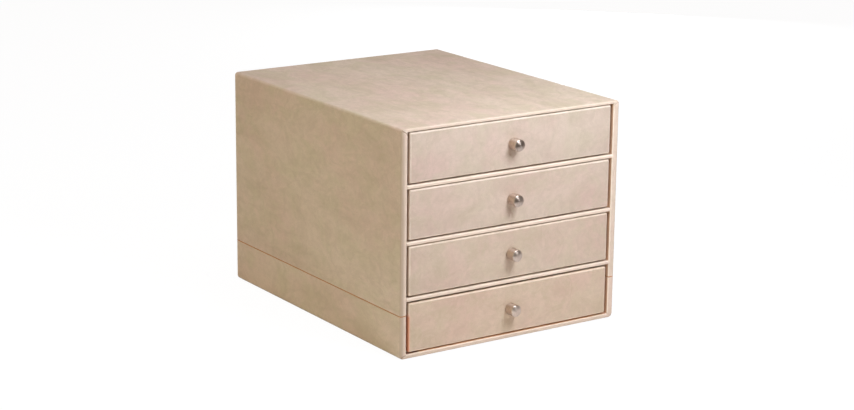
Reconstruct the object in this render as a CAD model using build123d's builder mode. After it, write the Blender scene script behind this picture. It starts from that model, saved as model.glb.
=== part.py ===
"""Desktop mini drawers: a covered board case with four covered trays that slide out.

Millimetres, +Z up. The drawer fronts face -Y and +X is to their right. The origin is
the middle of the case's footprint, on the face that rests on the desk.
"""
import os
from math import sqrt

from build123d import *

# ---- the case, outside ----
case_width = 260.0
case_depth = 323.0
side_wall = 7.0  # outer cover, board and paper lining together
top_wall = 3.4
bottom_wall = 5.0
back_wall = 4.0
long_edge_radius = 4.5  # the four edges that run front to back
front_edge_radius = 1.5  # round the front of the case
back_edge_radius = 2.0
mouth_edge_radius = 1.2  # round the inside of the front frame

# ---- skins ----
cover = 0.8  # leatherette on the case and on the drawer fronts
lining = 0.4  # paper inside the case
base_sheet = 0.5  # paper under the case, the face that rests on the desk
base_sheet_inset = 4.0
turn_in = 12.0  # how far the case cover is folded into the mouth
back_panel_inset = 6.0  # width of the border that is folded round to the back
back_panel_gap = 0.25
seam_height = 43.9  # middle of the thread that runs round the case
seam_thread_width = 0.9

# ---- the shelves and the spaces between them ----
drawer_count = 4
bay_height = 51.7
bottom_bay_extra = 1.0  # the bottom drawer has a little more room above it
shelf_thickness = 3.8  # board and its cover together
shelf_cover = 0.5
shelf_edge_radius = 1.3

# ---- the drawers ----
front_gap_side = 2.85
front_gap_below = 1.4
front_gap_above = 0.9
front_recess = 0.4
front_board = 3.6
front_corner_radius = 1.5
front_face_radius = 1.3  # round the edge of each drawer front
tray_side_board = 2.2
tray_floor_board = 2.0
tray_cover = 0.5
tray_lining = 0.3
tray_edge_radius = 0.9
slide_clearance = 0.3  # between a tray and the shelf that it slides on
tray_back_gap = 2.0

# ---- the knobs and their screws ----
knob_diameter = 12.0
knob_length = 12.0
knob_crown = 0.5  # how far the face bulges in the middle
knob_edge_radius = 0.9
knob_foot_chamfer = 0.4
screw_diameter = 4.0
screw_head_diameter = 8.0
screw_head_height = 2.2
screw_head_radius = 0.9
screw_reach = 6.5  # length of thread inside the knob
screw_tip_room = 1.0  # bore left free past the screw's end
screw_slot_width = 1.0
screw_slot_length = 4.6
screw_slot_depth = 1.0
thread_clearance = 0.05  # screw to knob, on the radius
hole_clearance = 0.25  # screw to front board, on the radius

# ---- worked out from the values above ----
bay_heights = [bay_height] * (drawer_count - 1) + [bay_height + bottom_bay_extra]  # top bay first
shelf_count = drawer_count - 1
case_height = bottom_wall + sum(bay_heights) + shelf_count * shelf_thickness + top_wall
bay_floors = [
    bottom_wall + sum(bay_heights[n + 1 :]) + (shelf_count - n) * shelf_thickness
    for n in range(drawer_count)
]

front = -case_depth / 2
back = case_depth / 2
cover_outer_half = case_width / 2
board_outer_half = cover_outer_half - cover
mouth_half = cover_outer_half - side_wall
board_inner_half = mouth_half + lining
mouth_floor = bottom_wall
mouth_ceiling = case_height - top_wall
inside_back = back - back_wall  # the face of the lining at the back of the bays

front_half = mouth_half - front_gap_side
front_height = bay_height - front_gap_below - front_gap_above
front_face = front + front_recess
front_back = front_face + cover + front_board
tray_back = inside_back - tray_back_gap
screw_radius = screw_diameter / 2


def facing_front(y):
    """A drawing plane seen from the front: its X is the case's X and its Y is up."""
    return Plane.XZ.offset(-y)


def block(x_span, y_span, z_span, mode=Mode.ADD):
    """A rectangular block between two planes on each axis."""
    spans = (x_span, y_span, z_span)
    middle = tuple((low + high) / 2 for low, high in spans)
    size = [high - low for low, high in spans]
    with Locations(middle):
        Box(*size, mode=mode)


def screw_hole(y_start, y_end, z_middle):
    """A clearance hole for a knob's screw, front to back."""
    with BuildSketch(facing_front(y_start)) as hole:
        with Locations((0, z_middle)):
            Circle(screw_radius + hole_clearance)
    extrude(hole.sketch, amount=y_start - y_end, mode=Mode.SUBTRACT)


def save(piece, name):
    """Name a finished piece and write it to its own file."""
    piece.part.label = name
    export_step(piece.part, f"parts/{name}.step")


# ---- the case: boards ----
def side_board(name, side):
    """A side of the case, full height, with its outer long edges rounded."""
    x_span = sorted((side * board_inner_half, side * board_outer_half))
    with BuildPart() as board:
        block(x_span, (front + cover, back - cover), (base_sheet + cover, case_height - cover))
        outer_face = board.faces().sort_by(Axis.X)[-1 if side > 0 else 0]
        fillet(outer_face.edges().filter_by(Axis.Y), long_edge_radius - cover)
    save(board, name)


def case_boards():
    """The five boards of the case: the others are held between the two sides."""
    side_board("left_board", -1)
    side_board("right_board", 1)
    between_sides = (-board_inner_half, board_inner_half)
    ceiling = mouth_ceiling + lining
    floor = mouth_floor - lining

    with BuildPart() as top_board:
        block(between_sides, (front + cover, back - cover), (ceiling, case_height - cover))
    save(top_board, "top_board")

    with BuildPart() as bottom_board:
        block(between_sides, (front + cover, back - cover), (base_sheet + cover, floor))
    save(bottom_board, "bottom_board")

    with BuildPart() as back_board:
        block(between_sides, (inside_back + lining, back - cover), (floor, ceiling))
    save(back_board, "back_board")


# ---- the case: skins ----
def case_skin():
    """The whole case cover in one piece: outside, front frame, turn-in and back border."""
    skin_middle = (base_sheet + case_height) / 2
    skin_height = case_height - base_sheet
    mouth_middle = (mouth_floor + mouth_ceiling) / 2
    mouth_height = mouth_ceiling - mouth_floor
    mouth_width = 2 * mouth_half

    with BuildPart() as skin:
        with BuildSketch(facing_front(front)):
            with Locations((0, skin_middle)):
                RectangleRounded(case_width, skin_height, long_edge_radius)
        extrude(amount=-case_depth)
        fillet(skin.faces().sort_by(Axis.Y)[0].edges(), front_edge_radius)
        fillet(skin.faces().sort_by(Axis.Y)[-1].edges(), back_edge_radius)

        with BuildSketch(facing_front(front + cover)):
            with Locations((0, skin_middle)):
                RectangleRounded(
                    case_width - 2 * cover, skin_height - 2 * cover, long_edge_radius - cover
                )
        extrude(amount=2 * cover - case_depth, mode=Mode.SUBTRACT)

        with BuildSketch(facing_front(front)):
            with Locations((0, mouth_middle)):
                Rectangle(mouth_width, mouth_height)
        extrude(amount=-cover, mode=Mode.SUBTRACT)

        with BuildSketch(facing_front(front + cover)):
            with Locations((0, mouth_middle)):
                Rectangle(mouth_width + 2 * lining, mouth_height + 2 * lining)
                Rectangle(mouth_width, mouth_height, mode=Mode.SUBTRACT)
        extrude(amount=-turn_in)

        with BuildSketch(facing_front(back - cover)):
            with Locations((0, skin_middle)):
                Rectangle(case_width - 2 * back_panel_inset, skin_height - 2 * back_panel_inset)
        extrude(amount=-cover, mode=Mode.SUBTRACT)

        front_frame = skin.faces().sort_by(Axis.Y)[0]
        fillet(front_frame.inner_wires()[0].edges(), mouth_edge_radius)
    return skin.part


def case_skins():
    """The cover above and below the seam, the thread in it, and the sheets."""
    thread_top = Plane.XY.offset(seam_height + seam_thread_width / 2)
    thread_bottom = Plane.XY.offset(seam_height - seam_thread_width / 2)
    whole_skin = case_skin()

    with BuildPart() as upper_cover:
        add(whole_skin)
        split(bisect_by=thread_top, keep=Keep.TOP)
    save(upper_cover, "upper_cover")

    with BuildPart() as lower_cover:
        add(whole_skin)
        split(bisect_by=thread_bottom, keep=Keep.BOTTOM)
    save(lower_cover, "lower_cover")

    with BuildPart() as seam_thread:
        add(whole_skin)
        split(bisect_by=thread_top, keep=Keep.BOTTOM)
        split(bisect_by=thread_bottom, keep=Keep.TOP)
    save(seam_thread, "seam_thread")

    panel_inset = back_panel_inset + back_panel_gap
    with BuildPart() as back_cover:
        block(
            (panel_inset - cover_outer_half, cover_outer_half - panel_inset),
            (back - cover, back),
            (base_sheet + panel_inset, case_height - panel_inset),
        )
    save(back_cover, "back_cover")

    lining_front = front + cover + turn_in
    with BuildPart() as case_lining:
        block(
            (-board_inner_half, board_inner_half),
            (lining_front, inside_back + lining),
            (mouth_floor - lining, mouth_ceiling + lining),
        )
        block(
            (-mouth_half, mouth_half),
            (lining_front, inside_back),
            (mouth_floor, mouth_ceiling),
            mode=Mode.SUBTRACT,
        )
    save(case_lining, "case_lining")

    sheet_half = cover_outer_half - base_sheet_inset
    with BuildPart() as base:
        block(
            (-sheet_half, sheet_half),
            (front + base_sheet_inset, back - base_sheet_inset),
            (0, base_sheet),
        )
    save(base, "base_sheet")


# ---- the shelves ----
def shelf(number, underside):
    """One shelf board with its cover wrapped over the front edge."""
    topside = underside + shelf_thickness
    with BuildPart() as board:
        block(
            (-mouth_half, mouth_half),
            (front + shelf_cover, inside_back),
            (underside + shelf_cover, topside - shelf_cover),
        )
        front_edges = board.faces().sort_by(Axis.Y)[0].edges().filter_by(Axis.X)
        fillet(front_edges, shelf_edge_radius - shelf_cover)
    save(board, f"shelf_{number}")

    with BuildPart() as wrap:
        block((-mouth_half, mouth_half), (front, inside_back), (underside, topside))
        front_edges = wrap.faces().sort_by(Axis.Y)[0].edges().filter_by(Axis.X)
        fillet(front_edges, shelf_edge_radius)
        add(board.part, mode=Mode.SUBTRACT)
    save(wrap, f"shelf_{number}_cover")


# ---- the drawers ----
def drawer_front(name, low, high):
    """The front board and the leatherette wrapped over its face and edges."""
    middle = (low + high) / 2
    with BuildPart() as board:
        with BuildSketch(facing_front(front_face + cover)):
            with Locations((0, middle)):
                RectangleRounded(
                    2 * (front_half - cover),
                    front_height - 2 * cover,
                    front_corner_radius - cover,
                )
        extrude(amount=-front_board)
        screw_hole(front_face + cover, front_back, middle)
    save(board, f"{name}_front_board")

    with BuildPart() as wrap:
        with BuildSketch(facing_front(front_face)):
            with Locations((0, middle)):
                RectangleRounded(2 * front_half, front_height, front_corner_radius)
        extrude(amount=-(cover + front_board))
        fillet(wrap.faces().sort_by(Axis.Y)[0].edges(), front_face_radius)
        with BuildSketch(facing_front(front_face + cover)):
            with Locations((0, middle)):
                RectangleRounded(
                    2 * (front_half - cover),
                    front_height - 2 * cover,
                    front_corner_radius - cover,
                )
        extrude(amount=-front_board, mode=Mode.SUBTRACT)
        screw_hole(front_face, front_face + cover, middle)
    save(wrap, f"{name}_front_cover")


def drawer_tray(name, low, high, knob_height):
    """The tray behind the front: sides, back and floor, its wrap and its lining."""
    outer = front_half
    skinned = outer - tray_cover
    lined = skinned - tray_side_board
    inner = lined - tray_lining
    board_low = low + tray_cover
    board_high = high - tray_cover
    floor_top = board_low + tray_floor_board
    back_outside = tray_back - tray_cover
    back_inside = back_outside - tray_side_board

    for side_name, side in (("left", -1), ("right", 1)):
        with BuildPart() as board:
            x_span = sorted((side * lined, side * skinned))
            block(x_span, (front_back, back_outside), (board_low, board_high))
        save(board, f"{name}_{side_name}_side")

    with BuildPart() as back_panel:
        block((-lined, lined), (back_inside, back_outside), (board_low, board_high))
    save(back_panel, f"{name}_back")

    with BuildPart() as bottom_panel:
        block((-lined, lined), (front_back, back_inside), (board_low, floor_top))
    save(bottom_panel, f"{name}_bottom")

    with BuildPart() as wrap:
        block((-outer, outer), (front_back, tray_back), (low, high))
        back_edges = wrap.faces().sort_by(Axis.Y)[-1].edges().filter_by(Axis.Z)
        floor_edges = wrap.faces().sort_by(Axis.Z)[0].edges().filter_by(Axis.Y)
        fillet(back_edges + floor_edges, tray_edge_radius)
        block((-skinned, skinned), (front_back, back_outside), (board_low, board_high), Mode.SUBTRACT)
        rim_inside = back_inside - tray_lining
        block((-inner, inner), (front_back, rim_inside), (board_high, high), Mode.SUBTRACT)
    save(wrap, f"{name}_tray_cover")

    with BuildPart() as paper:
        block((-lined, lined), (front_back, back_inside), (floor_top, board_high))
        block((-inner, inner), (front_back, front_back + tray_lining), (board_high, high))
        block(
            (-inner, inner),
            (front_back + tray_lining, back_inside - tray_lining),
            (floor_top + tray_lining, high),
            Mode.SUBTRACT,
        )
        screw_hole(front_back, front_back + tray_lining, knob_height)
    save(paper, f"{name}_lining")


def drawer_knob(name, knob_height):
    """A turned knob with a crowned face, and the screw that holds it from inside."""
    radius = knob_diameter / 2
    foot = front_face
    tip = foot - knob_length
    rim = tip + knob_crown  # where the crowned face meets the rounded edge
    crown_edge = radius - knob_edge_radius
    diagonal = knob_edge_radius * sqrt(0.5)
    axis = Axis((0, 0, knob_height), (0, 1, 0))

    with BuildPart() as knob:
        with BuildSketch(Plane((0, 0, knob_height), x_dir=(0, 1, 0), z_dir=(1, 0, 0))):
            with BuildLine():
                ThreePointArc((tip, 0), (tip + knob_crown / 4, crown_edge / 2), (rim, crown_edge))
                ThreePointArc(
                    (rim, crown_edge),
                    (rim + knob_edge_radius - diagonal, crown_edge + diagonal),
                    (rim + knob_edge_radius, radius),
                )
                Polyline(
                    (rim + knob_edge_radius, radius),
                    (foot - knob_foot_chamfer, radius),
                    (foot, radius - knob_foot_chamfer),
                    (foot, 0),
                    (tip, 0),
                )
            make_face()
        revolve(axis=axis)
        with BuildSketch(facing_front(foot)):
            with Locations((0, knob_height)):
                Circle(screw_radius + thread_clearance)
        extrude(amount=screw_reach + screw_tip_room, mode=Mode.SUBTRACT)
    save(knob, f"{name}_knob")

    head_seat = front_back + tray_lining
    with BuildPart() as screw:
        with BuildSketch(facing_front(head_seat)):
            with Locations((0, knob_height)):
                Circle(screw_head_diameter / 2)
        extrude(amount=-screw_head_height)
        fillet(screw.faces().sort_by(Axis.Y)[-1].edges(), screw_head_radius)
        with BuildSketch(facing_front(head_seat)):
            with Locations((0, knob_height)):
                Circle(screw_radius)
        extrude(amount=head_seat - foot + screw_reach)
        with BuildSketch(facing_front(head_seat + screw_head_height)):
            with Locations((0, knob_height)):
                Rectangle(screw_slot_length, screw_slot_width)
                Rectangle(screw_slot_width, screw_slot_length)
        extrude(amount=screw_slot_depth, mode=Mode.SUBTRACT)
    save(screw, f"{name}_screw")


def drawer(number, bay_floor):
    """One whole drawer, closed, in its bay."""
    name = f"drawer_{number}"
    low = bay_floor + front_gap_below
    high = low + front_height
    knob_height = (low + high) / 2
    drawer_front(name, low, high)
    drawer_tray(name, bay_floor + slide_clearance, high - cover, knob_height)
    drawer_knob(name, knob_height)


os.makedirs("parts", exist_ok=True)
case_boards()
case_skins()
for index, bay_floor in enumerate(bay_floors):
    drawer(index + 1, bay_floor)
    if index < shelf_count:
        shelf(index + 1, bay_floor - shelf_thickness)
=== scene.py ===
"""Looks of the desktop mini drawers: leatherette wraps, thread seam, turned knobs, papers.

Metres, +Z up, the drawer fronts face -Y. Every surface stands where the frame's nodes say.
"""
import math

import bpy
import numpy as np
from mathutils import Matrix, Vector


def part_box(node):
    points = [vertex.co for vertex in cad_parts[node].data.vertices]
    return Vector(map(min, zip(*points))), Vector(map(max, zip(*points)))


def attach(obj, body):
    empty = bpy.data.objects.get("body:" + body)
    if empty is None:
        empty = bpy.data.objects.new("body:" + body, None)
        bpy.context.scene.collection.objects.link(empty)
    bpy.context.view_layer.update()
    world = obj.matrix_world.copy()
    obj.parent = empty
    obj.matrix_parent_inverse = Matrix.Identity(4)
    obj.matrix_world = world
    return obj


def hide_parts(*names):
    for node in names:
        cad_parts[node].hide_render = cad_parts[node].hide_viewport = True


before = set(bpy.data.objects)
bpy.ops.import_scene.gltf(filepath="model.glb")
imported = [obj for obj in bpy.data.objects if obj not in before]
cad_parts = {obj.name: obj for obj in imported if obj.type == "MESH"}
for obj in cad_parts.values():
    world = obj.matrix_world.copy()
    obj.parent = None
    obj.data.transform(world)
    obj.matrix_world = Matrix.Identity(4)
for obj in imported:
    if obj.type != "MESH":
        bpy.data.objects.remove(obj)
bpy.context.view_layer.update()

MM = 0.001
DRAWERS = (1, 2, 3, 4)
DRAWER_TINTS = ((0.985, 1.0, 1.02), (1.0, 1.0, 1.015), (1.0, 1.0, 0.985), (1.03, 1.0, 0.955))
SHELVES = (1, 2, 3)

# ---- sizes read from the frame ----
skin_low, skin_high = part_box("lower_cover")[0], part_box("upper_cover")[1]
CASE_HALF = skin_high.x
CASE_FRONT, CASE_BACK = skin_low.y, skin_high.y
CASE_BOTTOM, CASE_TOP = skin_low.z, skin_high.z
SEAM_TOP, SEAM_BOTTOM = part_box("upper_cover")[0].z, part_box("lower_cover")[1].z
SEAM_MIDDLE = (SEAM_TOP + SEAM_BOTTOM) / 2
PAPER = 0.4 * MM  # the lining's thickness
lining_low, lining_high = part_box("case_lining")
MOUTH_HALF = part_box("shelf_1_cover")[1].x
MOUTH_FLOOR = lining_low.z + PAPER
MOUTH_CEILING = lining_high.z - PAPER
TURN_IN_END = lining_low.y

# ---- radii and skins ----
LOWER_LONG_EDGE = 4.5 * MM
UPPER_LONG_EDGE = 3.4 * MM
FRONT_EDGE = 1.9 * MM  # together with MOUTH_EDGE it stays under the top wall's 3.4 mm
BACK_EDGE = 2.4 * MM
MOUTH_EDGE = 1.2 * MM
SHELF_EDGE = 1.3 * MM
DRAWER_RADII = (1.5 * MM, 2.0 * MM, 2.4 * MM)  # the outline's corners, the edge, the knob's hole
BACK_RADII = (1.0 * MM, 0.5 * MM, 0.0)
SKIN = 0.7 * MM
SHELF_SKIN = 0.45 * MM
PANEL_SKIN = 0.63 * MM
BACK_BORDER = 6.0 * MM

# ---- folds and hand-made unevenness ----
MITRE_LEG = 3.0 * MM
FOLD_WIDTH = 0.5 * MM
FOLD_DEPTH = 0.4 * MM
TUCK_DEPTH = 0.22 * MM
TUCK_REACH = 1.8 * MM
FLAP_FROM_FOLD = 1.5 * MM
FLAP_WIDTH = 0.9 * MM
FOLD_AT_MOUTH = 0.08  # as a share of the corner's length, from its end at the side
FOLD_SLANT = 0.40
LOWER_FOLD = 0.5
RIGHT_FOLD = 0.45  # strength beside the left corner's fold
SEAM_CURL = 0.45 * MM
SHELF_CURL = 0.4 * MM
SIDE_UNEVEN = 0.14 * MM
FRONT_RIPPLE = 0.10 * MM
SHELF_UNEVEN = 0.12 * MM
PANEL_UNEVEN = 0.11 * MM
PLEAT_DEPTH = 0.12 * MM

# ---- painted bands, painted shade and how strongly edges take wear with painted highlight ----
LINING_FROM = 5.5 * MM  # depth in the mouth where the lining's colour begins
LINING_FROM_LEFT = 1.4 * MM
LINING_FADE = 1.5 * MM
# painted shade on the left wall's front, along its outer rounding: how far in it reaches and how it fades
EDGE_SHADE_WIDTH = 4.8 * MM
EDGE_SHADE_FADE = 2.5 * MM
STAIN_WIDTH = 2.1 * MM
STAIN_FADE = 1.6 * MM
TOP_FADE = 4.5 * MM
RIGHT_LIP = 0.6
# strengths of the edges' wear with painted highlight
BACK_WEAR_AND_HIGHLIGHT = 0.4
OUTER_WEAR_AND_HIGHLIGHT = 0.05
FLAP_WEAR_AND_HIGHLIGHT = 0.9
SHELF_FOOT_WEAR_AND_HIGHLIGHT = 0.3
PANEL_CORNER_WEAR_AND_HIGHLIGHT = 0.7

# ---- knobs and thread ----
KNOB_BORE = 2.05 * MM
KNOB_CROWN = 0.95 * MM
KNOB_RIM = 0.9 * MM
KNOB_CHAMFER = 0.4 * MM
KNOB_CORNER = 0.04 * MM
KNOB_RINGS = (1.3 * MM, 8.1 * MM, 8.8 * MM)
KNOB_RING_WIDTH = 0.16 * MM
KNOB_RING_DEPTH = 0.07 * MM
FACE_RING_AT = 0.9  # as a share of the face's radius
FACE_RING_WIDTH = 0.025
FACE_RING_DEPTH = 0.04 * MM
BORE_BEYOND_SCREW = 0.6 * MM
STITCH_PITCH = 3.3 * MM
STITCH_LENGTH = 0.93  # as a share of the pitch
STITCH_RADIUS = 0.29 * MM
STITCH_SUNK = 0.20 * MM
STITCH_DIVE = 0.26 * MM
STITCH_JITTER = 0.06 * MM
BED_SUNK = 0.42 * MM
BED_RISE = 0.10 * MM
BED_HALF = 0.75 * MM
BED_SKIN = 0.15 * MM


# ---------------------------------------------------------------- meshes
def linked(name, data):
    """An object with the given data, placed in the scene."""
    made = bpy.data.objects.new(name, data)
    bpy.context.scene.collection.objects.link(made)
    return made


def grid_mesh(name, points, wrap_u=False, poles=(), flip=False, uv=None, fields=None):
    """A mesh from a grid of points (u, v, xyz): one quad between each four neighbours.

    wrap_u joins the last row to the first. poles lists the v rings, 0 or -1, that close with a
    fan to their mean point. uv holds a texture place for each point and, where u wraps, one
    more row for the way round. fields are named values per point.
    """
    nu, nv = points.shape[:2]
    verts = points.reshape(-1, 3)
    u = np.arange(nu if wrap_u else nu - 1)
    along_u = u[:, None, None] + np.array([0, 1, 1, 0])
    along_v = np.arange(nv - 1)[None, :, None] + np.array([0, 0, 1, 1])
    quads = (along_u % nu * nv + along_v).reshape(-1, 4)
    faces = (quads[:, ::-1] if flip else quads).tolist()
    if uv is not None:
        places = uv.reshape(-1, 2)[(along_u * nv + along_v).reshape(-1, 4)]
        texture = [(places[:, ::-1] if flip else places).reshape(-1, 2)]
    for ring in poles:
        inner, step = ring % nv, 1 if ring == 0 else -1
        pole = len(verts)
        verts = np.vstack([verts, points[:, inner].mean(axis=0)])
        fan = np.stack([u * nv + inner, (u + 1) % nu * nv + inner, np.full_like(u, pole)], axis=-1)
        backwards = flip != (ring == 0)
        faces += (fan[:, ::-1] if backwards else fan).tolist()
        if uv is not None:
            beyond = 2 * uv[:, inner] - uv[:, inner + step]
            rim = np.stack([uv[u, inner], uv[u + 1, inner], (beyond[u] + beyond[u + 1]) / 2], axis=1)
            texture.append((rim[:, ::-1] if backwards else rim).reshape(-1, 2))
    mesh = bpy.data.meshes.new(name)
    mesh.from_pydata(verts.tolist(), [], faces)
    mesh.polygons.foreach_set("use_smooth", np.ones(len(mesh.polygons), bool))
    for field, values in (fields or {}).items():
        values = np.broadcast_to(values, (nu, nv))
        ends = [values[0, ring] for ring in poles]
        values = np.append(values.reshape(-1), ends).astype(np.float32)
        mesh.attributes.new(field, "FLOAT", "POINT").data.foreach_set("value", values)
    if uv is not None:
        flat = np.concatenate(texture).reshape(-1).astype(np.float32)
        mesh.uv_layers.new(name="UVMap").data.foreach_set("uv", flat)
    mesh.validate()
    mesh.update()
    return linked(name, mesh)


def many_meshes(name, shapes, flip=False):
    """One mesh from several closed tubes (shape, ring, around, xyz) with their ends fanned shut."""
    count, rings, around = shapes.shape[:3]
    size = rings * around
    r = np.arange(rings - 1)[:, None]
    a = np.arange(around)[None, :]
    a_next = (a + 1) % around
    quads = np.stack(
        [r * around + a, r * around + a_next, (r + 1) * around + a_next, (r + 1) * around + a], axis=-1
    ).reshape(-1, 4)
    start = np.arange(count)[:, None, None] * size
    faces = (quads[None] + start).reshape(-1, 4)
    first = np.arange(around)[::-1][None] + start[:, 0]
    last = (rings - 1) * around + np.arange(around)[None] + start[:, 0]
    if flip:
        faces, first, last = faces[:, ::-1], first[:, ::-1], last[:, ::-1]
    mesh = bpy.data.meshes.new(name)
    mesh.from_pydata(shapes.reshape(-1, 3).tolist(), [], faces.tolist() + first.tolist() + last.tolist())
    mesh.polygons.foreach_set("use_smooth", np.ones(len(mesh.polygons), bool))
    mesh.update()
    return linked(name, mesh)


def thicken(piece, thickness):
    """Gives a skin its thickness, inwards from the surface that shows."""
    wall = piece.modifiers.new("skin", "SOLIDIFY")
    wall.thickness = thickness
    wall.offset = -1.0
    wall.use_even_offset = False
    return piece


def wobble(a, b, size, seed):
    """Smooth hand-made unevenness from 0 to 1: a sum of eight sine waves of random direction."""
    rng = np.random.default_rng(seed)
    total = np.zeros(np.broadcast(a, b).shape)
    for _ in range(8):
        angle, phase = rng.uniform(0, math.tau, 2)
        wave = size * rng.uniform(0.6, 1.8)
        total = total + np.sin((a * math.cos(angle) + b * math.sin(angle)) * math.tau / wave + phase)
    return 0.5 + np.clip(total / 9.0, -0.5, 0.5)


def quarter(steps):
    """Angles of a quarter turn, without its first point."""
    return np.linspace(0, math.pi / 2, steps + 1)[1:]


# ---------------------------------------------------------------- the case's wrap
def wrap_profile():
    """The wrap's section from inside the mouth to the back panel, one row per station.

    Columns: blend from sharp to rounded frame, inset of the sharp frame beyond the mouth,
    inset of the rounded frame from the outside, y, how far it faces front, edge wear with
    painted highlight.
    """
    rows = []
    for y in np.linspace(TURN_IN_END, CASE_FRONT + MOUTH_EDGE, 6):
        rows.append((0, 0, 0, y, 0, 0))
    for turn in quarter(7):
        out, forward = MOUTH_EDGE * (1 - math.cos(turn)), MOUTH_EDGE * (1 - math.sin(turn))
        rows.append((0, out, 0, CASE_FRONT + forward, math.sin(turn), math.sin(2 * turn)))
    for share in np.linspace(0, 1, 7)[1:-1]:
        rows.append((share, MOUTH_EDGE, FRONT_EDGE, CASE_FRONT, 1, 0))
    for turn in np.append(0, quarter(7)):
        inset, back = FRONT_EDGE * (1 - math.sin(turn)), FRONT_EDGE * (1 - math.cos(turn))
        rows.append((1, 0, inset, CASE_FRONT + back, math.cos(turn), math.sin(2 * turn)))
    for y in np.linspace(CASE_FRONT + FRONT_EDGE, CASE_BACK - BACK_EDGE, 92)[1:]:
        rows.append((1, 0, 0, y, 0, 0))
    for turn in quarter(7):
        inset, forward = BACK_EDGE * (1 - math.cos(turn)), BACK_EDGE * (1 - math.sin(turn))
        rows.append((1, 0, inset, CASE_BACK - forward, -math.sin(turn), BACK_WEAR_AND_HIGHLIGHT * math.sin(2 * turn)))
    for share in np.linspace(1, 0, 7)[1:]:
        rows.append((share, -1, BACK_EDGE, CASE_BACK, -1, 0))
    rows.append((0, -1, BACK_EDGE, CASE_BACK - SKIN, -1, 0))
    return np.array(rows, float)


def round_the_case(seam_steps, side_steps, corner_steps, across_steps):
    """Where each grid column stands on a frame that runs up one side, across and down.

    A place is linear in the frame's half width, height and corner size, so each column holds
    the shares of those: x = half*a + corner*b and z = height*c + corner*d, with the corner
    shares once for a sharp corner and once for a round one. 'corner' itself runs from 0 to 1
    round a corner and is -1 elsewhere.
    """
    near = np.array(seam_steps) * MM
    far = np.linspace(near[-1], 1, side_steps + 1)[1:]
    rise = np.concatenate([near, far])
    turn = np.linspace(0, 1, corner_steps + 1)[1:]
    across = np.linspace(0, 1, across_steps + 1)[1:]
    zero, one = np.zeros_like, np.ones_like
    leg = np.clip(2 * turn - 1, 0, 1)
    climb = np.clip(1 - 2 * turn, 0, 1)
    quarter_x, quarter_z = 1 - np.cos(turn * math.pi / 2), 1 - np.sin(turn * math.pi / 2)
    left = {
        "half": (-one(rise), -one(turn)),
        "height": (rise, one(turn)),
        "sharp_x": (zero(rise), leg),
        "round_x": (zero(rise), quarter_x),
        "sharp_z": (-rise, -climb),
        "round_z": (-rise, -quarter_z),
        "corner": (zero(rise) - 1, turn),
    }
    top = {
        "half": 2 * across - 1,
        "height": one(across),
        "sharp_x": 1 - 2 * across,
        "round_x": 1 - 2 * across,
        "sharp_z": zero(across),
        "round_z": zero(across),
        "corner": zero(across) - 1,
    }
    mirrored = {"half", "sharp_x", "round_x"}
    columns = {}
    for key, parts in left.items():
        rising = np.concatenate(parts)
        falling = rising[::-1] * (-1 if key in mirrored else 1)
        columns[key] = np.concatenate([rising, top[key][:-1], falling])[:, None]
    return columns


def mitre(columns, blend, up):
    """The fold at each corner of the front: its groove, the tuck below it, the flap above it.

    The groove and the flap are bell curves across the fold, and the tuck fades away from it
    exponentially. The upper fold slants from the middle of the outer corner down to the mouth
    and has the flap. The lower one keeps to the corner's middle.
    """
    fold_at = FOLD_AT_MOUTH + FOLD_SLANT * blend if up > 0 else LOWER_FOLD
    above_fold = (columns["corner"] - fold_at) * 2 * MITRE_LEG
    from_flap = (above_fold - FLAP_FROM_FOLD) / FLAP_WIDTH
    on_corner = columns["corner"] >= 0
    strength = np.where(columns["half"] < 0, 1.0, RIGHT_FOLD)
    groove = np.where(on_corner, np.exp(-((above_fold / FOLD_WIDTH) ** 2)), 0) * strength
    tuck = np.where(on_corner & (above_fold < 0), np.exp(above_fold / TUCK_REACH), 0)
    flap = np.where(on_corner & (up > 0), np.exp(-(from_flap**2)), 0) * strength
    return groove, tuck, flap


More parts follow.
